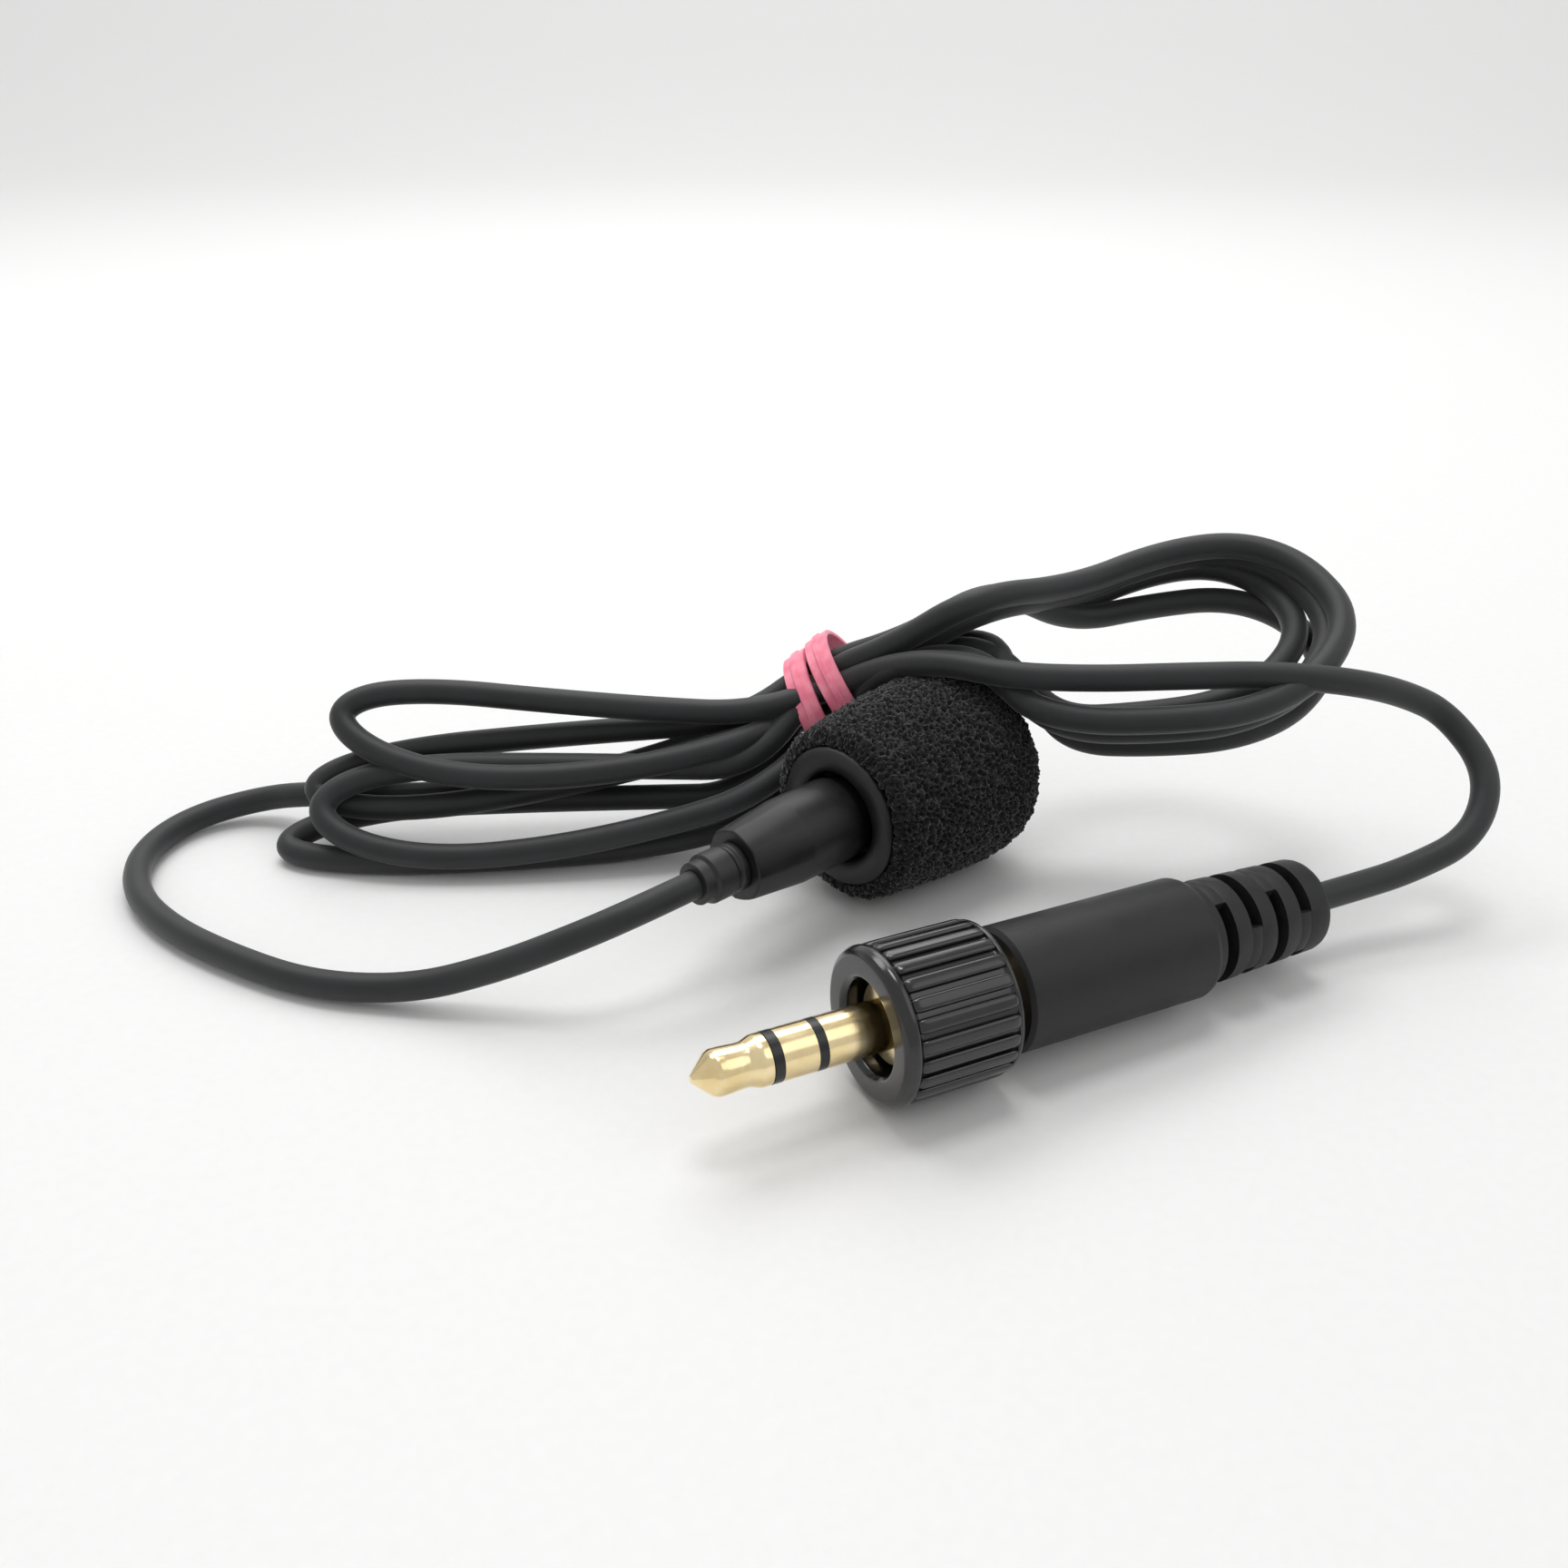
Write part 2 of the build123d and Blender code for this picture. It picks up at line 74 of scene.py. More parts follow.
class Link:
    def __init__(self, surface, socket):
        self.surface = surface
        self.socket = socket

    def maths(self, operation, first, second):
        return self.surface.add("ShaderNodeMath", {"operation": operation}, {0: first, 1: second})

    def __add__(self, other):
        return self.maths("ADD", self, other)

    __radd__ = __add__

    def __sub__(self, other):
        return self.maths("SUBTRACT", self, other)

    def __rsub__(self, other):
        return self.maths("SUBTRACT", other, self)

    def __mul__(self, other):
        return self.maths("MULTIPLY", self, other)

    __rmul__ = __mul__


class Surface:
    def __init__(self, name, colour, **constants):
        self.material = bpy.data.materials.new(name)
        self.material.use_nodes = True
        self.material.diffuse_color = (*colour, 1)
        self.tree = self.material.node_tree
        self.shader = self.tree.nodes["Principled BSDF"]
        self.shader.inputs["Base Color"].default_value = (*colour, 1)
        for socketName, value in constants.items():
            self.shader.inputs[socketName.replace("_", " ")].default_value = value

    def add(self, kind, settings=None, values=None, output=0):
        node = self.tree.nodes.new(kind)
        for key, value in (settings or {}).items():
            setattr(node, key, value)
        for key, value in (values or {}).items():
            if isinstance(value, Link):
                self.tree.links.new(value.socket, node.inputs[key])
            else:
                node.inputs[key].default_value = value
        return Link(self, node.outputs[output])

    def place(self, scale=(1, 1, 1), turn=None):
        spot = self.add("ShaderNodeTexCoord", output="Object")
        if turn is not None:
            angles = turn.inverted().to_euler()
            spot = self.add("ShaderNodeMapping", values={"Vector": spot, "Rotation": angles})
        return self.add("ShaderNodeMapping", values={"Vector": spot, "Scale": scale})

    def noise(self, size, detail=3.0, rough=0.5, where=None):
        values = {"Vector": where or self.place(), "Scale": 1 / (size * mm)}
        values.update({"Detail": detail, "Roughness": rough})
        return self.add("ShaderNodeTexNoise", values=values)

    def cells(self, size, feature="F1", where=None):
        values = {"Vector": where or self.place(), "Scale": 1 / (size * mm)}
        return self.add("ShaderNodeTexVoronoi", {"feature": feature}, values)

    def between(self, value, low, high):
        values = {"Value": value, "From Min": low, "From Max": high}
        return self.add("ShaderNodeMapRange", {"interpolation_type": "SMOOTHSTEP"}, values)

    def mix(self, factor, first, second):
        values = {"Factor": factor, 6: (*first, 1), 7: (*second, 1)}
        return self.add("ShaderNodeMix", {"data_type": "RGBA"}, values, output=2)

    def feed(self, socketName, link):
        self.tree.links.new(link.socket, self.shader.inputs[socketName])

    def bump(self, height, depth):
        values = {"Height": height, "Distance": depth * mm, "Strength": 1.0}
        self.feed("Normal", self.add("ShaderNodeBump", values=values))


def mottled(name, dark, light, roughness, grain, grainDepth, patch=2.5, **constants):
    # A moulded or plated finish: slow colour patches, a fine grain, and handling marks in the gloss
    surface = Surface(name, light, **constants)
    patches = surface.between(surface.noise(patch, 4), 0.32, 0.68)
    fine = surface.noise(grain, 3, 0.6)
    surface.feed("Base Color", surface.mix(patches, dark, light))
    surface.feed("Roughness", roughness[0] + (roughness[1] - roughness[0]) * (patches * 0.6 + fine * 0.4))
    surface.bump(fine, grainDepth)
    return surface


def foamFinish():
    # The "light" colour below is a painted highlight for glints on the struts, not the foam's own colour
    look = {"cell": 0.5, "strutWidth": 0.2, "dark": (0.003, 0.003, 0.0033), "light": (0.034, 0.035, 0.037)}
    surface = Surface("foam", (0.02, 0.02, 0.021), Roughness=0.9, Sheen_Weight=0.25, Sheen_Roughness=0.4)
    struts = surface.cells(look["cell"], "DISTANCE_TO_EDGE")
    strut = 1 - surface.between(struts, 0.0, look["strutWidth"])
    # Painted highlight: the base colour turns lighter at the glints, where the struts catch the light
    paintedGlints = surface.between(surface.noise(0.34, 4, 0.75), 0.5, 0.68)
    surface.feed("Base Color", surface.mix(strut * paintedGlints, look["dark"], look["light"]))
    surface.feed("Roughness", 0.95 - 0.35 * (strut * paintedGlints))
    surface.bump(strut * 0.7 + surface.noise(0.09, 2) * 0.3, 0.07)
    return surface


def cableFinish():
    surface = Surface("cableJacket", (0.03, 0.031, 0.034), Sheen_Weight=0.15, Sheen_Roughness=0.5)
    surface.shader.inputs["Specular IOR Level"].default_value = 0.36
    patches = surface.between(surface.noise(6.0, 4), 0.3, 0.7)
    fine = surface.noise(0.16, 3, 0.65)
    surface.feed("Base Color", surface.mix(patches, (0.012, 0.0128, 0.0138), (0.018, 0.019, 0.0205)))
    surface.feed("Roughness", 0.44 + 0.12 * fine + 0.05 * patches)
    surface.bump(fine, 0.012)
    return surface


def goldFinish():
    look = {"line": 0.035, "stretch": 22.0}
    surface = Surface("goldPlate", (0.95, 0.76, 0.42), Metallic=1.0)
    acrossAxis = surface.place((1, 1 / look["stretch"], 1 / look["stretch"]), plugTurn)
    turning = surface.noise(look["line"], 2, 0.5, acrossAxis)
    patches = surface.between(surface.noise(1.4, 3), 0.3, 0.7)
    surface.feed("Base Color", surface.mix(patches, (0.88, 0.69, 0.36), (0.97, 0.8, 0.48)))
    surface.feed("Roughness", 0.1 + 0.1 * turning + 0.05 * patches)
    surface.bump(turning, 0.0012)
    return surface


def meshFinish():
    surface = Surface("wovenSteel", (0.5, 0.5, 0.52), Metallic=1.0, Roughness=0.35)
    weave = {"wave_type": "BANDS", "bands_direction": "Y"}
    cross = {**weave, "bands_direction": "Z"}
    count = {"Vector": surface.place(), "Scale": 1600.0}
    warp = surface.add("ShaderNodeTexWave", weave, count, output="Fac")
    weft = surface.add("ShaderNodeTexWave", cross, count, output="Fac")
    surface.feed("Base Color", surface.mix(warp * weft, (0.2, 0.2, 0.21), (0.7, 0.7, 0.72)))
    surface.bump(warp * 0.5 + weft * 0.5, 0.02)
    return surface


print("finishes")
finishes = {
    "foam": foamFinish(),
    "cable_jacket": cableFinish(),
    "gold_contact": goldFinish(),
    "steel_mesh": meshFinish(),
    "satin_black_metal": mottled(
        "satinBlackMetal", (0.00495, 0.00495, 0.0055), (0.0088, 0.0088, 0.0099), (0.3, 0.44), 0.07, 0.006,
        Specular_IOR_Level=0.36,
    ),
    "gloss_black_metal": mottled(
        "glossBlackMetal", (0.0036, 0.0036, 0.0042), (0.0072, 0.0072, 0.0078), (0.13, 0.26), 0.05, 0.003,
        Coat_Weight=0.35, Coat_Roughness=0.12,
    ),
    "matte_black_plastic": mottled(
        "matteBlackPlastic", (0.00605, 0.00605, 0.0066), (0.0099, 0.0099, 0.011), (0.42, 0.56), 0.11, 0.014,
        Specular_IOR_Level=0.4,
    ),
    "smooth_black_plastic": mottled(
        "smoothBlackPlastic", (0.004, 0.004, 0.0045), (0.007, 0.007, 0.0075), (0.44, 0.56), 0.08, 0.008
    ),
    "boot_rubber": mottled(
        "bootRubber", (0.006, 0.006, 0.0065), (0.01, 0.01, 0.0105), (0.46, 0.6), 0.12, 0.016,
        Specular_IOR_Level=0.4,
    ),
    "black_rubber": mottled(
        "blackRubber", (0.0055, 0.0055, 0.00605), (0.00935, 0.00935, 0.0099), (0.4, 0.52), 0.1, 0.01
    ),
    "black_insulator": mottled(
        "blackInsulator", (0.0042, 0.0042, 0.0042), (0.0084, 0.0084, 0.0084), (0.2, 0.32), 0.06, 0.003
    ),
    "pink_plastic": mottled(
        "pinkPlastic", (0.86, 0.2, 0.3), (0.96, 0.3, 0.4), (0.28, 0.4), 0.12, 0.01, 1.2
    ),
    "can_aluminium": mottled(
        "drawnAluminium", (0.62, 0.63, 0.65), (0.76, 0.77, 0.79), (0.25, 0.4), 0.06, 0.003, Metallic=1.0
    ),
    "film": mottled("metallisedFilm", (0.6, 0.56, 0.4), (0.72, 0.68, 0.5), (0.15, 0.25), 0.3, 0.001),
    "white_plastic": mottled("whitePlastic", (0.7, 0.7, 0.67), (0.82, 0.82, 0.79), (0.4, 0.5), 0.1, 0.006),
    "board": mottled("glassFibreBoard", (0.02, 0.14, 0.06), (0.04, 0.22, 0.1), (0.35, 0.45), 0.15, 0.006),
    "tinned_metal": mottled(
        "tinnedMetal", (0.5, 0.5, 0.51), (0.68, 0.68, 0.69), (0.28, 0.45), 0.09, 0.006, Metallic=1.0
    ),
    "red_wire": mottled("redInsulation", (0.4, 0.02, 0.02), (0.56, 0.04, 0.035), (0.35, 0.45), 0.1, 0.005),
    "bare_copper": mottled(
        "bareCopper", (0.6, 0.28, 0.16), (0.8, 0.42, 0.27), (0.25, 0.4), 0.08, 0.006, Metallic=1.0
    ),
}
slotOf = {row["node"]: row["material_slot"] for row in frame["record"]["subparts"]}


def finishPiece(piece, slotName):
    piece.data.materials.clear()
    piece.data.materials.append(finishes[slotName].material)


for nodeName, node in frame["nodes"].items():
    for slot in node.material_slots:
        slot.material = finishes[slotOf[nodeName]].material


# ---- camera, floor and lights ----

view = {"turn": 44.07, "pitch": 27.02, "height": 65.95, "behind": (-79.7, -74.5), "lens": 35.35}
heading = math.radians(view["turn"])
cameraData = bpy.data.cameras.new("camera")
cameraData.sensor_width = 36
cameraData.lens = view["lens"]
cameraData.clip_start = 0.002
cameraData.clip_end = 20
camera = bpy.data.objects.new("camera", cameraData)
camera.location = (view["behind"][0] * mm, view["behind"][1] * mm, view["height"] * mm)
camera.rotation_euler = (math.radians(90 - view["pitch"]), 0, -heading)
bpy.context.scene.collection.objects.link(camera)
bpy.context.scene.camera = camera
forward = Vector((math.sin(heading), math.cos(heading), 0))
right = Vector((math.cos(heading), -math.sin(heading), 0))


studio = {
    "front": 1.6, "flat": 0.55, "bend": 0.5, "wall": 1.6, "half": 3.0, "steps": 24,
    "dark": (0.745, 0.745, 0.742), "light": (0.785, 0.785, 0.782),
}


def addFloor():
    # A sheet of paper that lies flat under the object and bends up behind it
    rows = [(-studio["front"], 0), (studio["flat"], 0)]
    for step in range(1, studio["steps"] + 1):
        turn = math.pi / 2 * step / studio["steps"]
        away = studio["flat"] + studio["bend"] * math.sin(turn)
        rows.append((away, studio["bend"] * (1 - math.cos(turn))))
    rows.append((rows[-1][0], rows[-1][1] + studio["wall"]))
    body = bmesh.new()
    lines = []
    for along, height in rows:
        middle = forward * along + Vector((0, 0, height))
        lines.append([body.verts.new(middle + right * side * studio["half"]) for side in (-1, 1)])
    for first, second in zip(lines, lines[1:]):
        body.faces.new((first[0], first[1], second[1], second[0])).smooth = True
    floorMesh = bpy.data.meshes.new("floor")
    body.to_mesh(floorMesh)
    body.free()
    floor = bpy.data.objects.new("floor", floorMesh)
    paper = Surface("palePaper", studio["light"], Roughness=0.55)
    grain = paper.noise(0.9, 3)
    paper.feed("Base Color", paper.mix(grain, studio["dark"], studio["light"]))
    paper.bump(grain, 0.01)
    floorMesh.materials.append(paper.material)
    bpy.context.scene.collection.objects.link(floor)


def addLamp(name, place, target, size, power):
    lampData = bpy.data.lights.new(name, "AREA")
    lampData.shape = "DISK"
    lampData.size = size
    lampData.energy = power
    lamp = bpy.data.objects.new(name, lampData)
    lamp.location = place
    lamp.rotation_euler = (Vector(target) - Vector(place)).to_track_quat("-Z", "Y").to_euler()
    bpy.context.scene.collection.objects.link(lamp)


# For each lamp: how far right, forward and up it stands from the middle of the object, its size and power
lamps = {
    "keyLamp": (-0.22, 0.2, 0.42, 0.22, 0.5),
    "fillLamp": (0.36, -0.1, 0.34, 0.4, 0.3),
    "backLamp": (0.0, 0.36, 0.4, 0.36, 0.6),
}
wallLight = {"wall": (1.05, 0.5), "nearer": 0.75, "above": 1.0, "size": 0.7, "power": 8.5}
roomLight = 0.64


def addLights():
    middle = Vector((0, 0, 0.005))
    for name, (across, ahead, up, size, power) in lamps.items():
        addLamp(name, middle + right * across + forward * ahead + Vector((0, 0, up)), middle, size, power)
    w = wallLight
    wall = forward * w["wall"][0] + Vector((0, 0, w["wall"][1]))
    place = wall - forward * w["nearer"] + Vector((0, 0, w["above"]))
    addLamp("wallLamp", place, wall, w["size"], w["power"])
    world = bpy.data.worlds.new("softRoom")
    world.use_nodes = True
    world.node_tree.nodes["Background"].inputs["Color"].default_value = (1.0, 1.0, 1.0, 1)
    world.node_tree.nodes["Background"].inputs["Strength"].default_value = roomLight
    bpy.context.scene.world = world
    bpy.context.scene.view_settings.view_transform = "Standard"


addFloor()
addLights()
print("camera, floor and lights")

# ---- lead ----

lead = {
    "radius": 1.1,
    "length": 0.95,
    "bootEnd": 37.8,
    "rest": 1.12,
    "foamGap": 9.7,
    "micSide": [
        (-16.8, 0, 8.05), (-21.4, 0.3, 7.8), (-25.9, 2.5, 6.3), (-30.0, 6.8, 3.6), (-34.4, 11.4, 1.6),
        (-39.0, 17.4, 1.15), (-41.6, 24.8, 1.2), (-43.2, 32.6, 1.15), (-42.8, 39.8, 1.15),
        (-39.6, 45.6, 1.2), (-33.8, 48.6, 1.2), (-27.8, 46.4, 1.9), (-25.4, 40.6, 3.6),
    ],
    "plugSide": [
        (29.8, -25.6, 18.2), (34.2, -28.0, 16.6), (37.4, -30.4, 14.6), (36.2, -35.2, 11.4),
        (32.2, -36.4, 7.6), (27.0, -33.8, 5.6), (22.4, -31.6, 5.0),
    ],
    # the strand out of the tie crosses in front of the right lobe on its way to the plug
    "crossing": [
        (10.0, 6.2, 15.6), (10.6, 0.4, 17.6), (12.0, -5.4, 17.8), (16.0, -10.8, 18.0), (20.8, -15.7, 18.3),
        (25.6, -20.8, 18.6),
    ],
}
leftLobe = {
    "start": (8.8, 13.6, 11.4), "end": (-29.6, 40.2, 4.6), "lean": (0.355, 0.674, 0.652), "bow": 0,
    "stations": [(0.15, 0.3), (0.35, 0.66), (0.58, 0.95), (0.8, 1.06), (0.96, 0.72)],
}
rightLobe = {
    "start": (13.2, -0.6, 16.9), "end": (31.4, -25.0, 18.9), "lean": (0.686, 0.614, 0.39), "bow": 1,
    "stations": [(0.1, 0.36), (0.28, 0.82), (0.52, 1.04), (0.75, 1.06), (0.93, 0.7)],
}
# The bundle through the tie, then over the foam in two flat layers; "spread" is half its width and height
waist = {"centre": (10.6, 12.2, 11.6), "along": (7.5, -6.0, 6.4), "spread": (2.7, 2.6)}
neck = {"centre": (12.6, 6.0, 16.3), "along": (1.0, -7.0, 3.0), "spread": (3.4, 1.0)}
crest = {"centre": (14.8, -0.2, 18.2), "along": (1.2, -7.0, 0.4), "spread": (3.6, 1.0)}
# The strands that leave for the top of the right lobe rise at once, apart from those that come back
climb = {"centre": (15.0, -0.4, 21.6), "along": (1.2, -7.0, 2.6), "spread": (3.6, 1.2)}
# Where each strand lies round the middle of the bundle, in degrees; the first runs along its middle
strandTurns = [None, 290, 150, 250, 110, 330, 70, 210, 30]

# One row for each loop of a lobe: its reach, the middle of its two sides near the tie and how far that
# rises towards the end, half its width, and its layer towards the front of the hank
rightLoops = [
    (28.8, -1.3, 7.2, 9.5, -1.6), (28.6, -0.6, 5.6, 7.8, -4.6), (26.6, -0.7, 8.2, 8.0, -3.0),
    (29.7, -2.0, 7.4, 9.4, 0.0),
]
leftLoops = [
    (46.2, -9.0, 4.3, 3.9, -1.8), (43.0, -2.2, 2.4, 2.7, -0.2), (42.4, -8.0, 5.2, 4.1, 1.6),
    (39.6, -3.4, 8.2, 3.9, 2.6),
]


def lobeSpot(lobe, along, across, layer):
    start, end, lean = Vector(lobe["start"]), Vector(lobe["end"]), Vector(lobe["lean"])
    xWay = (end - start).normalized()
    yWay = (lean - xWay * lean.dot(xWay)).normalized()
    outward = xWay.cross(yWay)
    return start + xWay * along + yWay * across + outward * math.copysign(layer, layer * outward.z)


def lobeLoop(lobe, reach, base, rise, half, layer, firstAbove):
    # Out along one side of the lobe, round its end and back along the other side
    def side(far, wide, sign):
        bowed = far * far if lobe["bow"] == 0 else far * (2 - far)
        return lobeSpot(lobe, reach * far, base + rise * bowed + sign * half * wide, layer)

    sign = 1 if firstAbove else -1
    spots = [side(far, wide, sign) for far, wide in lobe["stations"]]
    spots.append(side(1.03, 0, sign))
    return spots + [side(far, wide, -sign) for far, wide in reversed(lobe["stations"])]


def bundleSpot(bundle, strand):
    # Strands pack round one in the middle where the tie holds them
    along = Vector(bundle["along"]).normalized()
    sideways = along.cross(Vector((0, 0, 1))).normalized()
    upward = sideways.cross(along)
    if strandTurns[strand] is None:
        return Vector(bundle["centre"])
    turn = math.radians(strandTurns[strand])
    wide, high = bundle["spread"]
    return Vector(bundle["centre"]) + sideways * wide * math.cos(turn) + upward * high * math.sin(turn)


def clearSpot(spot):
    # Off the floor, and outside the foam along the way that the foam pulls off
    spot = Vector((spot.x, spot.y, max(spot.z, lead["rest"])))
    away = Vector((0, spot.y, spot.z - micRear.z / mm))
    if -3 < spot.x < 31 and away.length < lead["foamGap"]:
        spot += away.normalized() * (lead["foamGap"] - away.length)
    return spot


def leadRoute():
    start = [lobeSpot(leftLobe, 34, -2.0, -1.4), lobeSpot(leftLobe, 24, -3.0, -1.6)]
    start += [lobeSpot(leftLobe, 13, -2.6, -1.2), lobeSpot(leftLobe, 5, -1.0, -0.8), bundleSpot(waist, 0)]
    hank = []
    for turn, (rightLoop, leftLoop) in enumerate(zip(rightLoops, leftLoops)):
        hank += [bundleSpot(neck, 2 * turn), bundleSpot(climb, 2 * turn)]
        hank += lobeLoop(rightLobe, *rightLoop, True)[1:]  # climb takes the place of the first spot
        hank += [bundleSpot(place, 2 * turn + 1) for place in (crest, neck, waist)]
        hank += lobeLoop(leftLobe, *leftLoop, False)
        hank.append(bundleSpot(waist, 2 * turn + 2))
    end = [Vector(spot) for spot in lead["crossing"] + lead["plugSide"]]
    end.append(plugOrigin / mm + plugAlong * lead["bootEnd"])
    return [Vector(spot) for spot in lead["micSide"]] + [clearSpot(spot) for spot in start + hank + end]


def makeLead():
    curve = bpy.data.curves.new("lead", "CURVE")
    curve.dimensions = "3D"
    curve.bevel_depth = 1.0
    curve.bevel_resolution = 6
    curve.resolution_u = 10
    curve.use_fill_caps = True
    spline = curve.splines.new("NURBS")
    route = leadRoute()
    spline.points.add(len(route) - 1)
    for point, spot in zip(spline.points, route):
        point.co = (*(spot * mm), 1)
        point.radius = lead["radius"] * mm
    spline.order_u = 3
    spline.use_endpoint_u = True
    cord = bpy.data.objects.new("lead", curve)
    bpy.context.scene.collection.objects.link(cord)
    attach(cord, "mic_head")
    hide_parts("cable_mic_side", "cable_plug_side", "cable_hank")
    finishPiece(cord, "cable_jacket")
    return cord


leadPiece = makeLead()
print("lead")

# ---- twist tie ----

tie = {
    "turns": 1.9, "radius": 4.25, "width": 2.2, "thickness": 0.46, "pitch": 6.4, "wire": 0.34, "steps": 180,
    "tilt": 0.5,
}


def tieSection():
    # Flat strip with a raised rib along its middle, where the wire runs
    half, thick, rib = tie["width"] / 2, tie["thickness"] / 2, tie["wire"]
    top = [(half, thick * 0.4), (half * 0.92, thick), (rib, thick), (rib * 0.6, thick + rib * 0.5)]
    top += [(-x, y) for x, y in reversed(top)]
    return top + [(x, -min(y, thick)) for x, y in reversed(top)]


def sweepSection(name, spots, outwards, section):
    body = bmesh.new()
    rings = []
    for index, spot in enumerate(spots):
        ahead = spots[min(index + 1, len(spots) - 1)] - spots[max(index - 1, 0)]
        heading = ahead.normalized()
        outward = (outwards[index] - heading * outwards[index].dot(heading)).normalized()
        sideways = heading.cross(outward)
        rings.append([body.verts.new((spot + sideways * x + outward * y) * mm) for x, y in section])
    for first, second in zip(rings, rings[1:]):
        for corner in range(len(section)):
            after = (corner + 1) % len(section)
            body.faces.new((first[corner], first[after], second[after], second[corner]))
    body.faces.new(reversed(rings[0]))
    body.faces.new(rings[-1])
    bmesh.ops.recalc_face_normals(body, faces=body.faces)
    return pieceFrom(name, body)


def pieceFrom(name, body, sharpAngle=35):
    mesh = bpy.data.meshes.new(name)
    body.to_mesh(mesh)
    body.free()
    for face in mesh.polygons:
        face.use_smooth = True
    mesh.set_sharp_from_angle(angle=math.radians(sharpAngle))
    piece = bpy.data.objects.new(name, mesh)
    bpy.context.scene.collection.objects.link(piece)
    return piece


def makeTie():
    along = Vector(waist["along"]).normalized()
    sideways = along.cross(Vector((0, 0, 1))).normalized()
    upward = sideways.cross(along)
    spots, outwards = [], []
    for step in range(tie["steps"] + 1):
        share = step / tie["steps"]
        turn = 2 * math.pi * tie["turns"] * share - 0.6
        outward = sideways * math.cos(turn) + upward * math.sin(turn)
        slack = 0.12 * math.sin(turn * 2.0) + 0.1 * math.sin(turn * 3.0 + 1)
        drift = tie["pitch"] * (share - 0.5) + tie["tilt"] * math.sin(turn * 0.5 + 0.4)
        spots.append(
            Vector(waist["centre"]) + outward * (tie["radius"] + 0.5 * share + slack) + along * drift
        )
        outwards.append(outward)
    strip = sweepSection("twist_tie_strip", spots, outwards, tieSection())
    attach(strip, "mic_head")
    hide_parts("twist_tie")
    finishPiece(strip, "pink_plastic")


makeTie()
print("twist tie")

# ---- turned pieces ----


def rounded(profile, radius, steps=5):
    # Replaces each corner of a closed profile with a small arc; corners on the axis stay sharp
    spots = []
    count = len(profile)
    for index, (x, y) in enumerate(profile):
        corner = Vector((x, y))
        before = Vector(profile[index - 1]) - corner
        after = Vector(profile[(index + 1) % count]) - corner
        reach = min(radius, before.length * 0.42, after.length * 0.42)
        if y < tiny or reach < mergeGap:
            spots.append((x, y))
            continue
        start, end = corner + before.normalized() * reach, corner + after.normalized() * reach
        for step in range(steps + 1):
            share = step / steps
            spot = start * (1 - share) ** 2 + corner * 2 * share * (1 - share) + end * share**2
            spots.append((spot.x, spot.y))
    return spots


def turnedPiece(name, profile, place, radius=0.06, segments=96, shape=None):
    body = bmesh.new()
    ring = [body.verts.new((x, y, 0)) for x, y in rounded(profile, radius)]
    edges = [body.edges.new((ring[i - 1], ring[i])) for i in range(len(ring))]
    onAxis = [e for e in edges if all(v.co.y < tiny for v in e.verts)]
    edges = [e for e in edges if e not in onAxis]
    bmesh.ops.delete(body, geom=onAxis, context="EDGES")
    geometry = [v for v in body.verts] + [e for e in body.edges]
    bmesh.ops.spin(
        body, geom=geometry, cent=(0, 0, 0), axis=(1, 0, 0), angle=2 * math.pi, steps=segments,
        use_merge=True,
    )
    bmesh.ops.remove_doubles(body, verts=body.verts, dist=mergeGap)
    if shape:
        for vert in body.verts:
            vert.co = shape(vert.co)
    bmesh.ops.recalc_face_normals(body, faces=body.faces)
    bmesh.ops.transform(body, matrix=place @ Matrix.Scale(mm, 4), verts=body.verts)
    return pieceFrom(name, body)


def stand(piece, bodyName, nodeName):
    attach(piece, bodyName)
    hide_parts(nodeName)
    finishPiece(piece, slotOf[nodeName])
    return piece


housing = {
    "rearRadius": 2.9, "radius": 3.45, "taper": 5.2, "end": 16.0, "wall": 0.5, "rearWall": 0.8, "hole": 1.35,
    "groove": (10.6, 11.3, 0.2), "seat": 3.2, "flats": 8, "flatDepth": 0.5,
}


def faceted(spot):
    # The rear of the housing is eight soft flats that fade out towards the barrel
    radius = math.hypot(spot.y, spot.z)
    if radius < 2.0 or not -0.1 < spot.x < housing["taper"]:
        return spot
    sector = 2 * math.pi / housing["flats"]
    turn = math.atan2(spot.z, spot.y) % sector - sector / 2
    flat = math.cos(sector / 2) / math.cos(turn)
    fade = housing["flatDepth"] * (1 - max(spot.x, 0) / housing["taper"]) ** 0.7
    scale = 1 - fade + fade * flat
    return Vector((spot.x, spot.y * scale, spot.z * scale))


def makeHousing():
    h = housing
    inner = h["radius"] - h["wall"]
    grooveStart, grooveEnd, grooveDepth = h["groove"]
    profile = [
        (0, h["hole"]), (0, h["rearRadius"]), (h["taper"], h["radius"]), (grooveStart, h["radius"]),
        (grooveStart, h["radius"] - grooveDepth), (grooveEnd, h["radius"] - grooveDepth),
        (grooveEnd, h["seat"]), (h["end"], h["seat"]), (h["end"], inner), (h["taper"], inner),
        (h["rearWall"], h["rearRadius"] - h["wall"]), (h["rearWall"], h["hole"]),
    ]
    stand(turnedPiece("mic_housing", profile, micPlace, 0.16, 128, faceted), "mic_head", "mic_body_shell")


relief = {"length": 4.0, "step": 1.65, "radius": 1.95, "bore": 1.1, "neck": 1.33, "flange": 1.85}


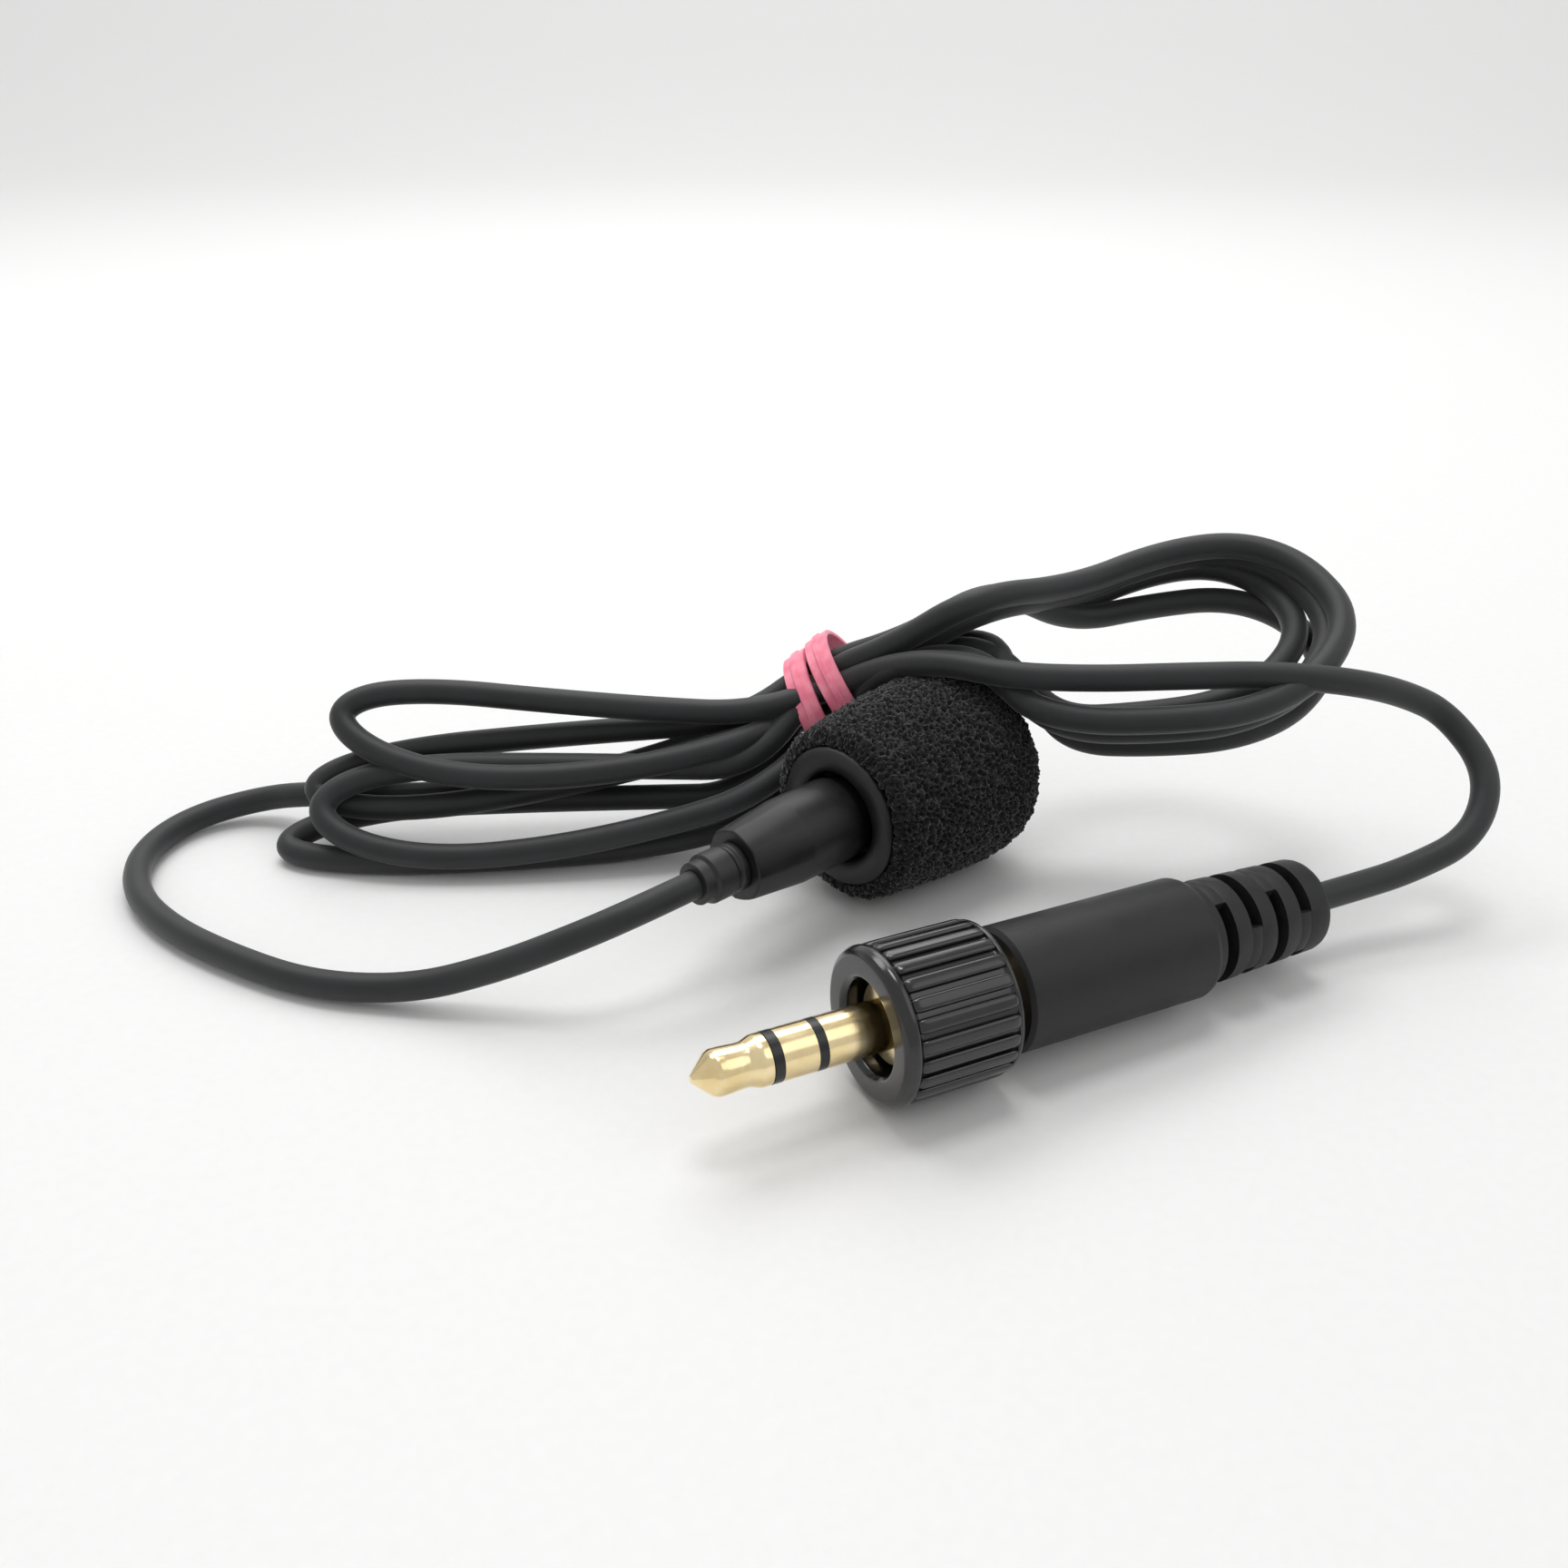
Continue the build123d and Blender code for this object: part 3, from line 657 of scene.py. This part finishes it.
def makeRelief():
    r = relief
    profile = [
        (-r["length"], r["bore"]), (-r["length"], r["step"]), (-r["length"] + 0.9, r["step"]),
        (-r["length"] + 1.1, r["radius"]), (-1.15, r["radius"]), (-1.0, r["radius"] - 0.14),
        (-0.75, r["radius"] - 0.14), (-0.6, r["radius"]), (-0.02, r["radius"]), (-0.02, r["neck"]),
        (0.82, r["neck"]), (0.82, r["flange"]), (1.2, r["flange"]), (1.2, r["bore"]),
    ]
    stand(turnedPiece("mic_relief", profile, micPlace, 0.1), "mic_head", "mic_strain_relief")


mouthRing = {"front": 12.8, "rear": 11.3, "lip": 10.72, "outer": 5.8, "bore": 3.75}


def makeMouthRing():
    m = mouthRing
    middle, half = (m["outer"] + m["bore"]) / 2, (m["outer"] - m["bore"]) / 2
    lip = []
    for step in range(13):
        turn = math.pi * step / 12
        lip.append((m["rear"] - (m["rear"] - m["lip"]) * math.sin(turn), middle + half * math.cos(turn)))
    profile = [(m["front"], m["bore"]), (m["front"], m["outer"])] + lip
    piece = turnedPiece("foam_mouth_ring", profile, micPlace, 0.02, 128)
    stand(piece, "windscreen", "windscreen_mouth_ring")


makeHousing()
makeRelief()
makeMouthRing()
print("mic housing, relief and mouth ring")

# ---- foam ----

foam = {
    "mouth": 3.32, "boreEnd": 17.2, "rear": 11.2, "front": 29.6, "radius": 8.42, "rearRadius": 6.9,
    "seat": 5.8, "seatEnd": 12.8, "peak": 24.6, "nose": 0.72, "cell": 0.5, "depth": 0.4, "around": 420,
    "lift": 0.02, "fill": 0.9,
}


def foamOutline():
    # The outer skin: a rolled rear edge, a barrel that swells towards the front and a full round nose
    f = foam
    spots = []
    for step in range(10):
        turn = math.pi / 2 * step / 9
        spots.append((f["rear"] + 1.1 * (1 - math.cos(turn)), f["rearRadius"] - 0.9 + 1.35 * math.sin(turn)))
    start = spots[-1]
    for step in range(1, 96):
        share = step / 95
        x = start[0] + (f["peak"] - start[0]) * share
        spots.append((x, start[1] + (f["radius"] - start[1]) * math.sin(share * math.pi / 2)))
    for step in range(1, 76):
        turn = math.pi / 2 * step / 75
        x = f["peak"] + (f["front"] - f["peak"]) * math.sin(turn) ** 0.94
        spots.append((x, f["radius"] * math.cos(turn) ** f["nose"]))
    return spots[:-1] + [(f["front"], 0)]


def foamTree():
    # Open cells: the skin sinks into each cell and stands at the struts between them
    tree = bpy.data.node_groups.new("foamCells", "GeometryNodeTree")
    face = tree.interface
    face.new_socket("Geometry", in_out="INPUT", socket_type="NodeSocketGeometry")
    sockets = {}
    for label, value in (("Cell size", foam["cell"] * mm), ("Depth", foam["depth"] * mm)):
        sockets[label] = face.new_socket(label, in_out="INPUT", socket_type="NodeSocketFloat")
        sockets[label].default_value = value
    sockets["Finish"] = face.new_socket("Finish", in_out="INPUT", socket_type="NodeSocketMaterial")
    face.new_socket("Geometry", in_out="OUTPUT", socket_type="NodeSocketGeometry")
    node, link = tree.nodes.new, tree.links.new
    source, result = node("NodeGroupInput"), node("NodeGroupOutput")
    scale = node("ShaderNodeMath")
    scale.operation = "DIVIDE"
    scale.inputs[0].default_value = 1
    link(source.outputs["Cell size"], scale.inputs[1])
    cells = node("ShaderNodeTexVoronoi")
    cells.feature = "DISTANCE_TO_EDGE"
    link(scale.outputs[0], cells.inputs["Scale"])
    cells.inputs["Randomness"].default_value = 1.0
    ramp = node("ShaderNodeMapRange")
    ramp.interpolation_type = "SMOOTHSTEP"
    for socketName, value in (("From Min", 0.03), ("From Max", 0.3), ("To Min", 0.0), ("To Max", -1.0)):
        ramp.inputs[socketName].default_value = value
    link(cells.outputs["Distance"], ramp.inputs["Value"])
    grain = node("ShaderNodeTexNoise")
    grain.inputs["Scale"].default_value = 1 / (0.62 * mm)
    grain.inputs["Detail"].default_value = 4.0
    grain.inputs["Roughness"].default_value = 0.65
    centred, mixed = node("ShaderNodeMath"), node("ShaderNodeMath")
    centred.operation = "SUBTRACT"
    centred.inputs[1].default_value = 0.5
    link(grain.outputs[0], centred.inputs[0])
    mixed.operation = "MULTIPLY_ADD"
    mixed.inputs[1].default_value = 2.6
    link(centred.outputs[0], mixed.inputs[0])
    link(ramp.outputs[0], mixed.inputs[2])
    sink = node("ShaderNodeMath")
    sink.operation = "MULTIPLY"
    link(mixed.outputs[0], sink.inputs[0])
    link(source.outputs["Depth"], sink.inputs[1])
    normal = node("GeometryNodeInputNormal")
    shift = node("ShaderNodeVectorMath")
    shift.operation = "SCALE"
    link(normal.outputs[0], shift.inputs[0])
    link(sink.outputs[0], shift.inputs["Scale"])
    move = node("GeometryNodeSetPosition")
    link(source.outputs["Geometry"], move.inputs["Geometry"])
    link(shift.outputs[0], move.inputs["Offset"])
    realize, paint = node("GeometryNodeRealizeInstances"), node("GeometryNodeSetMaterial")
    link(move.outputs[0], realize.inputs[0])
    link(realize.outputs[0], paint.inputs["Geometry"])
    link(source.outputs["Finish"], paint.inputs["Material"])
    link(paint.outputs[0], result.inputs[0])
    return tree, sockets


def baked(piece):
    # The evaluated mesh takes the place of the live modifiers
    graph = bpy.context.evaluated_depsgraph_get()
    made = bpy.data.meshes.new_from_object(piece.evaluated_get(graph), depsgraph=graph)
    piece.modifiers.clear()
    piece.data = made
    return piece


def makeFoam():
    f = foam
    outer = foamOutline()
    inner = [
        (f["boreEnd"], 0), (f["boreEnd"], f["mouth"]), (f["seatEnd"], f["mouth"]), (f["seatEnd"], f["seat"]),
        (f["rear"] + 0.2, f["seat"]),
    ]
    piece = turnedPiece("foam_windscreen", inner + outer, micPlace, 0.0, f["around"])
    tree, sockets = foamTree()
    modifier = piece.modifiers.new("cells", "NODES")
    modifier.node_group = tree
    modifier[sockets["Cell size"].identifier] = f["cell"] * mm
    modifier[sockets["Depth"].identifier] = f["depth"] * mm
    modifier[sockets["Finish"].identifier] = finishes["foam"].material
    baked(piece)
    for vert in piece.data.vertices:
        vert.co.z = max(vert.co.z, f["lift"] * mm)  # it rests flat on the surface
    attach(piece, "windscreen")
    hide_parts("windscreen_foam")


makeFoam()
print("foam")

# ---- plug: nut, boot, tip and body ----

nut = {
    "radius": 5.5, "core": 5.12, "length": 9.0, "hole": 3.25, "mouth": 3.6, "throat": 3.0, "ridges": 24,
    "ridgeStart": 1.05, "ridgeEnd": 8.7, "ridgeWidth": 1.02, "ridgeHeight": 1.1,
    "groove": (6.5, 7.5, 4.05), "rearBore": 3.5,
}


def ridgeTree():
    # Straight ridges stand round the nut, each a bar with soft edges and ends
    tree = bpy.data.node_groups.new("nutRidges", "GeometryNodeTree")
    face = tree.interface
    face.new_socket("Geometry", in_out="INPUT", socket_type="NodeSocketGeometry")
    sockets = {}
    for label, kind in (
        ("Ridges", "Int"), ("Length", "Float"), ("Width", "Float"), ("Height", "Float"),
        ("Middle radius", "Float"), ("Middle", "Float"), ("Finish", "Material"),
    ):
        sockets[label] = face.new_socket(label, in_out="INPUT", socket_type="NodeSocket" + kind)
    face.new_socket("Geometry", in_out="OUTPUT", socket_type="NodeSocketGeometry")
    node, link = tree.nodes.new, tree.links.new
    source, result = node("NodeGroupInput"), node("NodeGroupOutput")
    circle, lay = node("GeometryNodeMeshCircle"), node("GeometryNodeTransform")
    link(source.outputs["Ridges"], circle.inputs["Vertices"])
    link(source.outputs["Middle radius"], circle.inputs["Radius"])
    shift = node("ShaderNodeCombineXYZ")
    link(source.outputs["Middle"], shift.inputs["X"])
    link(circle.outputs[0], lay.inputs["Geometry"])
    link(shift.outputs[0], lay.inputs["Translation"])
    lay.inputs["Rotation"].default_value = (0, math.pi / 2, 0)
    size = node("ShaderNodeCombineXYZ")
    for axis, label in zip("XYZ", ("Length", "Width", "Height")):
        link(source.outputs[label], size.inputs[axis])
    bar, soft = node("GeometryNodeMeshCube"), node("GeometryNodeSubdivisionSurface")
    link(size.outputs[0], bar.inputs["Size"])
    for axis, count in zip("XYZ", (9, 3, 3)):
        bar.inputs["Vertices " + axis].default_value = count
    link(bar.outputs[0], soft.inputs[0])
    soft.inputs["Level"].default_value = 2
    spot, outward = node("GeometryNodeInputPosition"), node("ShaderNodeVectorMath")
    outward.operation = "MULTIPLY"
    outward.inputs[1].default_value = (0, 1, 1)
    turn = node("FunctionNodeAlignRotationToVector")
    turn.axis, turn.pivot_axis = "Z", "X"
    link(spot.outputs[0], outward.inputs[0])
    link(outward.outputs[0], turn.inputs["Vector"])
    stand = node("GeometryNodeInstanceOnPoints")
    link(lay.outputs[0], stand.inputs["Points"])
    link(soft.outputs[0], stand.inputs["Instance"])
    link(turn.outputs[0], stand.inputs["Rotation"])
    join, realize = node("GeometryNodeJoinGeometry"), node("GeometryNodeRealizeInstances")
    smooth, paint = node("GeometryNodeSetShadeSmooth"), node("GeometryNodeSetMaterial")
    link(stand.outputs[0], smooth.inputs["Geometry"])
    link(source.outputs["Geometry"], join.inputs[0])
    link(smooth.outputs[0], join.inputs[0])
    link(join.outputs[0], realize.inputs[0])
    link(realize.outputs[0], paint.inputs["Geometry"])
    link(source.outputs["Finish"], paint.inputs["Material"])
    link(paint.outputs[0], result.inputs[0])
    return tree, sockets


def makeNut():
    n = nut
    start, end, deep = n["groove"]
    profile = [
        (0, n["mouth"]), (0, n["radius"] - 0.55), (0.2, n["radius"] - 0.2), (0.62, n["radius"]),
        (0.95, n["radius"]), (1.3, n["core"]), (8.45, n["core"]), (8.6, n["radius"] - 0.12),
        (8.85, n["radius"] - 0.14), (n["length"], n["radius"] - 0.4), (n["length"], n["rearBore"]),
        (end, n["rearBore"]), (end, deep), (start, deep), (start, n["throat"]), (5.5, n["throat"]),
        (5.5, n["hole"]), (0.35, n["hole"]),
    ]
    piece = turnedPiece("locking_nut", profile, Matrix.Identity(4), 0.13, 144)
    tree, sockets = ridgeTree()
    modifier = piece.modifiers.new("ridges", "NODES")
    modifier.node_group = tree
    values = {
        "Ridges": n["ridges"], "Length": (n["ridgeEnd"] - n["ridgeStart"]) * mm,
        "Width": n["ridgeWidth"] * mm, "Height": n["ridgeHeight"] * mm,
        "Middle radius": (n["radius"] - n["ridgeHeight"] / 2) * mm,
        "Middle": (n["ridgeStart"] + n["ridgeEnd"]) / 2 * mm,
        "Finish": finishes["gloss_black_metal"].material,
    }
    for label, value in values.items():
        modifier[sockets[label].identifier] = value
    baked(piece)
    piece.data.transform(plugPlace)
    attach(piece, "lock_nut")
    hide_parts("plug_locking_nut")
    return piece


boot = {
    "start": 24.0, "front": 26.5, "end": 37.8, "frontRadius": 3.9, "endRadius": 3.5, "bore": 1.1,
    "slots": 4, "first": 27.8, "pitch": 2.4, "width": 0.95, "arc": 125, "deep": 1.35, "edge": 0.07,
    "rim": 0.028, "rounding": 0.75, "around": 240, "step": 1e-4,
}


def makeBoot():
    # Rows of two slots each; the ribs between them stand at the top and bottom, then at the sides, by turns
    b = boot
    stations = [b["start"], b["front"]]
    for row in range(b["slots"]):
        middle = b["first"] + row * b["pitch"]
        for side in (-1, 1):
            edge = middle + side * b["width"] / 2
            stations += sorted([edge - b["edge"], edge, edge + b["edge"]])
    stations += [b["end"] - b["rounding"]]
    around = b["around"]
    half = b["arc"] / 2
    body = bmesh.new()
    rings = []

    def skin(s):
        share = max(0, (s - b["front"]) / (b["end"] - b["front"]))
        return b["frontRadius"] + (b["endRadius"] - b["frontRadius"]) * share

    def depthAt(s, degrees):
        for row in range(b["slots"]):
            off = abs(s - (b["first"] + row * b["pitch"]))
            if off <= b["width"] / 2 + tiny:
                lean = (degrees - (row % 2) * 90) % 180
                inside = half - abs(lean - 90)
                return b["deep"] if inside > 0 else 0
        return 0

    def ring(s, radius, cut):
        spots = []
        for step in range(around):
            degrees = 360 * step / around
            r = radius - (depthAt(s, degrees) if cut else 0)
            turn = math.radians(degrees)
            spots.append(body.verts.new((s, r * math.cos(turn), r * math.sin(turn))))
        rings.append(spots)

    for s in stations:
        middles = [b["first"] + row * b["pitch"] for row in range(b["slots"])]
        rims = [abs(abs(s - middle) - b["width"] / 2) for middle in middles]
        if min(rims) < tiny:
            nearest = middles[rims.index(min(rims))]
            ring(s, skin(s) - b["rim"], False)
            ring(s + math.copysign(b["step"], nearest - s), skin(s) - b["rim"], True)
        else:
            ring(s, skin(s), True)
    for step in range(1, 9):
        turn = math.pi / 2 * step / 8
        along = b["end"] - b["rounding"] * (1 - math.sin(turn))
        ring(along, b["endRadius"] - b["rounding"] * (1 - math.cos(turn)), False)
    ring(b["end"], b["bore"], False)
    ring(b["start"], b["bore"], False)
    for first, second in zip(rings, rings[1:] + rings[:1]):
        for step in range(around):
            after = (step + 1) % around
            body.faces.new((first[step], first[after], second[after], second[step]))
    bmesh.ops.recalc_face_normals(body, faces=body.faces)
    bmesh.ops.transform(body, matrix=plugPlace @ Matrix.Scale(mm, 4), verts=body.verts)
    return stand(pieceFrom("plug_boot_sleeve", body, 30), "mic_head", "plug_boot")


tip = {"end": -12.6, "seat": -7.45}


def makeTip():
    end, seat = tip["end"], tip["seat"]
    profile = [
        (end, 0), (end + 0.02, 0.22), (end + 1.28, 1.42), (end + 1.62, 1.56), (end + 2.15, 1.56),
        (end + 3.3, 1.48), (end + 3.75, 1.48), (end + 4.4, 1.72), (end + 4.6, 1.75), (seat, 1.75), (seat, 0),
    ]
    return stand(turnedPiece("plug_tip", profile, plugPlace, 0.12, 96), "mic_head", "plug_tip_contact")


plugMade = [makeNut(), makeBoot(), makeTip()]
print("plug")

plugPieces = plugMade + [
    node for name, node in frame["nodes"].items() if name.startswith("plug_") or name == "nut_retaining_clip"
]
